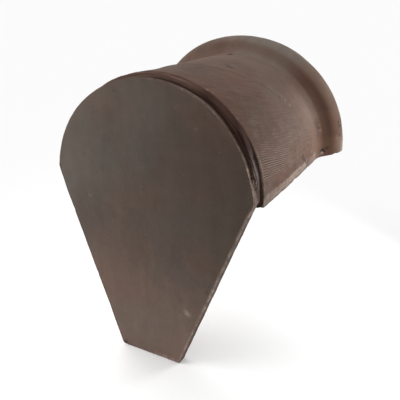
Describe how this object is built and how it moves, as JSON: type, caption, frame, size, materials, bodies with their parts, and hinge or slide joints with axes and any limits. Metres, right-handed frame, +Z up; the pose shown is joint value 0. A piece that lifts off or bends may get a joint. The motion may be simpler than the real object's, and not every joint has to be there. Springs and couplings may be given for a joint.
{
  "type": "ridge end cap",
  "caption": "Half-round clay ridge tile with a flared collar at one end and a flat hanging plate that closes the other, for the end of a roof's ridge.",
  "frame": {"origin": "where the ridge's bedding plane meets the back of the end plate, on the cap's centre line", "axes": "+Y along the barrel from the end plate to the collar's mouth, +Z up, +X to the right seen from the end plate's face"},
  "size_m": [0.293, 0.2607, 0.3508],
  "materials": {
    "barrel_clay": "fired clay, combed, matt",
    "plate_clay": "fired clay, smooth, matt",
    "filler_paste": "set adhesive, part gloss"
  },
  "bodies": {
    "root": {"ridge_barrel": "barrel_clay", "end_plate": "plate_clay", "joint_filler": "filler_paste"}
  },
  "joints": []
}
